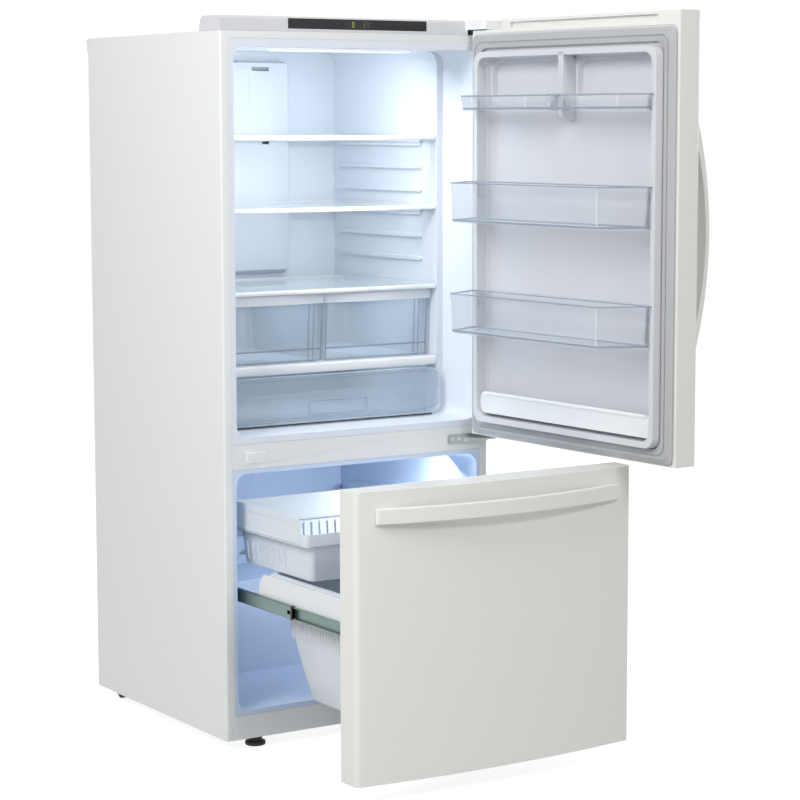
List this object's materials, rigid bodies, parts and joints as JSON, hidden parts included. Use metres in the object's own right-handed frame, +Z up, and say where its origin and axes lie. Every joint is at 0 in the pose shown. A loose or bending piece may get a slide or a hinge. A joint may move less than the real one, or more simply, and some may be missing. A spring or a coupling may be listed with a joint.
{
  "type": "bottom freezer refrigerator",
  "caption": "White bottom freezer refrigerator with a hinged door, glass shelves, clear drawers and door bins, and a pull-out freezer drawer with two baskets.",
  "frame": {"origin": "on the floor under the centre of the bounding box, with the door and the drawer open as stored", "axes": "+Z up, the front faces -Y, the door hinge is on the +X side"},
  "size_m": [0.856, 1.4794, 1.746],
  "materials": {
    "white_paint": "satin",
    "door_paint": "satin",
    "white_plastic": "satin",
    "clear_plastic": "clear",
    "clear_glass": "clear",
    "display": "gloss",
    "lens": "frosted",
    "zinc": "zinc plated",
    "galvanised": "galvanised",
    "aluminium": "mill",
    "black_paint": "semi-gloss",
    "black_plastic": "matte",
    "gray_rubber": "matte",
    "foam": "rigid foam"
  },
  "bodies": {
    "cabinet": {"cabinet_shell": "white_paint", "mullion_cover": "white_paint", "fridge_liner": "white_plastic", "freezer_liner": "white_plastic", "control_housing": "white_plastic", "hinge_cover": "white_plastic", "duct_panel": "white_plastic", "evaporator_cover": "white_plastic", "crisper_cover_frame": "white_plastic", "deli_cover": "white_plastic", "crisper_cover_glass": "clear_glass", "display_window": "display", "light_lens": "lens", "top_hinge_bracket": "zinc", "centre_hinge_bracket": "zinc", "fixed_rail_left": "zinc", "fixed_rail_right": "zinc", "base_frame": "zinc", "rear_panel": "galvanised", "compressor_cover": "galvanised", "evaporator": "aluminium", "compressor": "black_paint", "condenser": "black_paint", "cabinet_foam": "foam"},
    "door": {"door_panel": "door_paint", "door_top_cap": "door_paint", "door_foam": "foam", "door_liner": "white_plastic", "door_gasket": "gray_rubber", "door_handle": "door_paint", "door_retainer": "white_plastic"},
    "small_bin_left": {"small_bin_left": "clear_plastic"},
    "small_bin_right": {"small_bin_right": "clear_plastic"},
    "large_bin_upper": {"large_bin_upper": "clear_plastic"},
    "large_bin_lower": {"large_bin_lower": "clear_plastic"},
    "drawer": {"drawer_panel": "door_paint", "drawer_foam": "foam", "drawer_liner": "white_plastic", "drawer_gasket": "gray_rubber", "drawer_handle": "door_paint", "basket_carrier": "white_plastic", "lower_basket": "white_plastic", "drawer_rail_left": "zinc", "drawer_rail_right": "zinc"},
    "middle_rail_left": {"middle_rail_left": "zinc"},
    "middle_rail_right": {"middle_rail_right": "zinc"},
    "upper_basket": {"upper_basket": "white_plastic"},
    "upper_shelf": {"shelf_upper_frame": "white_plastic", "shelf_upper_glass": "clear_glass"},
    "middle_shelf": {"shelf_middle_frame": "white_plastic", "shelf_middle_glass": "clear_glass"},
    "crisper_left": {"crisper_left": "clear_plastic"},
    "crisper_right": {"crisper_right": "clear_plastic"},
    "deli_drawer": {"deli_drawer": "clear_plastic"},
    "foot_left": {"foot_left": "black_plastic"},
    "foot_right": {"foot_right": "black_plastic"},
    "roller_left": {"roller_left": "black_plastic"},
    "roller_right": {"roller_right": "black_plastic"},
    "evaporator_fan": {"evaporator_fan": "white_plastic"},
    "condenser_fan": {"condenser_fan": "black_plastic"}
  },
  "joints": [
    {"name": "door_hinge", "type": "hinge", "parent": "cabinet", "child": "door", "pos_m": [0.30073, -0.01047, 0.723], "axis": [0, 0, 1], "range_deg": [-92.66, 27.34]},
    {"name": "drawer_slide", "type": "slide", "parent": "cabinet", "child": "drawer", "axis": [0, -1, 0], "range_m": [-0.507, 0]},
    {"name": "middle_rail_left_slide", "type": "slide", "parent": "cabinet", "child": "middle_rail_left", "axis": [0, -1, 0], "range_m": [-0.2535, 0]},
    {"name": "middle_rail_right_slide", "type": "slide", "parent": "cabinet", "child": "middle_rail_right", "axis": [0, -1, 0], "range_m": [-0.2535, 0]},
    {"name": "upper_basket_slide", "type": "slide", "parent": "cabinet", "child": "upper_basket", "axis": [0, -1, 0], "range_m": [-0.3042, 0]},
    {"name": "upper_shelf_slide", "type": "slide", "parent": "cabinet", "child": "upper_shelf", "axis": [0, -1, 0], "range_m": [0, 0.14]},
    {"name": "middle_shelf_slide", "type": "slide", "parent": "cabinet", "child": "middle_shelf", "axis": [0, -1, 0], "range_m": [0, 0.14]},
    {"name": "crisper_left_slide", "type": "slide", "parent": "cabinet", "child": "crisper_left", "axis": [0, -1, 0], "range_m": [0, 0.27]},
    {"name": "crisper_right_slide", "type": "slide", "parent": "cabinet", "child": "crisper_right", "axis": [0, -1, 0], "range_m": [0, 0.165]},
    {"name": "deli_drawer_slide", "type": "slide", "parent": "cabinet", "child": "deli_drawer", "axis": [0, -1, 0], "range_m": [0, 0.14]},
    {"name": "small_bin_left_lift", "type": "slide", "parent": "door", "child": "small_bin_left", "axis": [0, 0, 1], "range_m": [0, 0.03]},
    {"name": "small_bin_right_lift", "type": "slide", "parent": "door", "child": "small_bin_right", "axis": [0, 0, 1], "range_m": [0, 0.03]},
    {"name": "large_bin_upper_lift", "type": "slide", "parent": "door", "child": "large_bin_upper", "axis": [0, 0, 1], "range_m": [0, 0.03]},
    {"name": "large_bin_lower_lift", "type": "slide", "parent": "door", "child": "large_bin_lower", "axis": [0, 0, 1], "range_m": [0, 0.03]},
    {"name": "foot_left_turn", "type": "hinge", "parent": "cabinet", "child": "foot_left", "pos_m": [-0.32797, 0.07173, 0], "axis": [0, 0, 1], "continuous": true},
    {"name": "roller_left_spin", "type": "hinge", "parent": "cabinet", "child": "roller_left", "pos_m": [-0.38497, 0.67173, 0.02], "axis": [1, 0, 0], "continuous": true},
    {"name": "foot_right_turn", "type": "hinge", "parent": "cabinet", "child": "foot_right", "pos_m": [0.22803, 0.07173, 0], "axis": [0, 0, 1], "continuous": true},
    {"name": "roller_right_spin", "type": "hinge", "parent": "cabinet", "child": "roller_right", "pos_m": [0.28503, 0.67173, 0.02], "axis": [1, 0, 0], "continuous": true},
    {"name": "evaporator_fan_spin", "type": "hinge", "parent": "cabinet", "child": "evaporator_fan", "pos_m": [-0.04997, 0.68173, 0.575], "axis": [0, 1, 0], "continuous": true},
    {"name": "condenser_fan_spin", "type": "hinge", "parent": "cabinet", "child": "condenser_fan", "pos_m": [0.06003, 0.60673, 0.142], "axis": [1, 0, 0], "continuous": true}
  ],
  "couplings": [
    {"joint": "middle_rail_left_slide", "follows": "drawer_slide", "ratio": 0.5},
    {"joint": "middle_rail_right_slide", "follows": "drawer_slide", "ratio": 0.5},
    {"joint": "upper_basket_slide", "follows": "drawer_slide", "ratio": 0.6}
  ]
}
